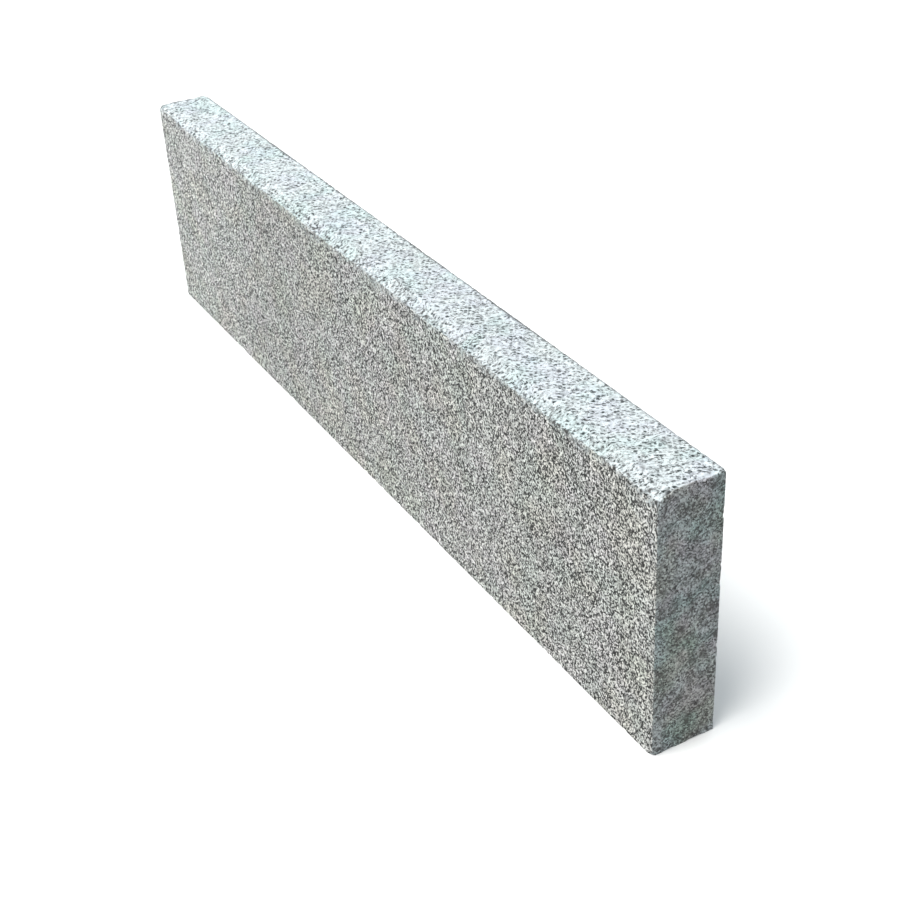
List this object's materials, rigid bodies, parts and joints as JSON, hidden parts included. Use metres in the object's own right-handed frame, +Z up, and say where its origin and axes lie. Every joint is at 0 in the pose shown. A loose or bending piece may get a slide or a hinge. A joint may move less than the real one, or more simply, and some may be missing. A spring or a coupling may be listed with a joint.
{
  "type": "granite kerb stone",
  "caption": "Straight upright kerb of sawn grey granite, with a roughened top and a hand-hewn bevel along its front upper arris.",
  "frame": {"origin": "centre of the underside, at the foot of the standing stone", "axes": "+X along the stone, -Y out of the exposed front face with the bevel, +Z up"},
  "size_m": [1, 0.06, 0.25],
  "materials": {
    "granite": "sawn grey granite with pale and dark grains, its top and hewn bevel rough and bruised paler"
  },
  "bodies": {
    "root": {"kerb_stone": "granite"}
  },
  "joints": []
}
